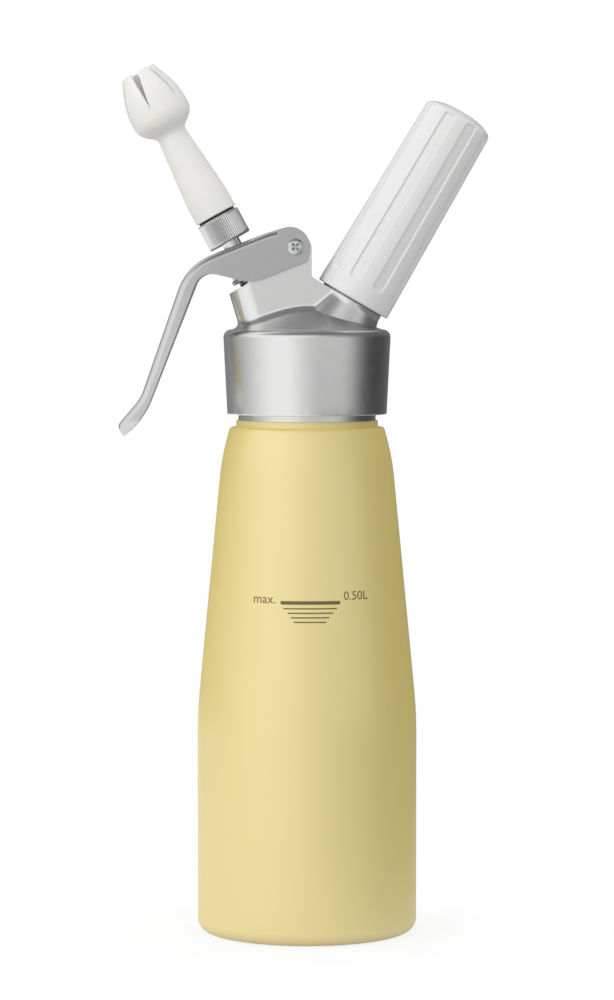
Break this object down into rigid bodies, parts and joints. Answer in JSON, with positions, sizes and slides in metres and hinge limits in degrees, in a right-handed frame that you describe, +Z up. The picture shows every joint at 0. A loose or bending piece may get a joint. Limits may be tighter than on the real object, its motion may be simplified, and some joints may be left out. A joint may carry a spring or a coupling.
{
  "type": "whipped cream dispenser",
  "caption": "Half-litre cream whipper: tapered aluminium bottle, screwed-on head with a lever-pressed valve, tulip nozzle and charger holder.",
  "frame": {"origin": "on the bottle's axis, in the plane it stands on", "axes": "+Z up along the bottle; -X towards the nozzle and the lever, +X towards the charger holder; +Y away from the side where the pivot screw shows"},
  "size_m": [0.134, 0.08, 0.316],
  "materials": {
    "yellow_paint": "satin pale yellow paint",
    "cast_aluminium": "satin, turned",
    "sheet_aluminium": "satin",
    "stainless": "bright",
    "spring_steel": "bright",
    "zinc_steel": "bright, plated",
    "white_plastic": "glossy white",
    "natural_plastic": "matte, slightly translucent",
    "dark_rubber": "matte",
    "pale_rubber": "matte",
    "acetal": "matte"
  },
  "bodies": {
    "bottle": {"bottle": "yellow_paint"},
    "head": {"head_body": "cast_aluminium", "head_gasket": "dark_rubber", "guide_bush": "acetal", "stem_oring": "dark_rubber", "valve_seat": "stainless", "valve_spring": "spring_steel", "inlet_stud": "stainless", "inlet_washer": "dark_rubber", "piercing_pin": "stainless", "charger_seal": "dark_rubber", "check_spring": "spring_steel", "check_plug": "acetal"},
    "lever": {"lever": "sheet_aluminium", "pivot_sleeve": "stainless", "pivot_screw": "zinc_steel"},
    "valve": {"valve_stem": "stainless", "spring_clip": "stainless", "thrust_collar": "stainless", "valve_seal": "dark_rubber", "valve_nut": "stainless"},
    "coupler": {"nozzle_coupler": "stainless", "nozzle_ring": "dark_rubber"},
    "nozzle": {"nozzle_tip": "natural_plastic"},
    "charger": {"charger": "zinc_steel"},
    "holder": {"charger_holder": "white_plastic"},
    "check": {"check_poppet": "pale_rubber"}
  },
  "joints": [
    {"name": "head_lift", "type": "slide", "parent": "bottle", "child": "head", "axis": [0, 0, 1], "range_m": [0, 0.03]},
    {"name": "lever_press", "type": "hinge", "parent": "head", "child": "lever", "pos_m": [-0.00418, 0, 0.24963], "axis": [0, -1, 0], "range_deg": [0, 11.69], "stiffness_Nm_per_rad": 0.4, "springref_deg": -20.05},
    {"name": "valve_press", "type": "slide", "parent": "head", "child": "valve", "axis": [0.4825, 0, -0.8759], "range_m": [0, 0.0041], "stiffness_N_per_m": 120, "springref_m": -0.006, "deforming": ["valve_spring"]},
    {"name": "coupler_lift", "type": "slide", "parent": "valve", "child": "coupler", "axis": [-0.4825, 0, 0.8759], "range_m": [0, 0.012]},
    {"name": "nozzle_lift", "type": "slide", "parent": "coupler", "child": "nozzle", "axis": [-0.4825, 0, 0.8759], "range_m": [0, 0.01]},
    {"name": "charger_draw", "type": "slide", "parent": "head", "child": "charger", "axis": [0.506, 0, 0.8625], "range_m": [0, 0.03]},
    {"name": "holder_turn", "type": "hinge", "parent": "charger", "child": "holder", "pos_m": [0.03654, 0, 0.2648], "axis": [0.506, 0, 0.8625], "continuous": true},
    {"name": "check_lift", "type": "slide", "parent": "head", "child": "check", "axis": [0, 0, -1], "range_m": [0, 0.0012], "stiffness_N_per_m": 150, "springref_m": -0.0008, "deforming": ["check_spring"]}
  ],
  "couplings": [
    {"joint": "valve_press", "follows": "lever_press", "m_per_rad": 0.0196}
  ]
}
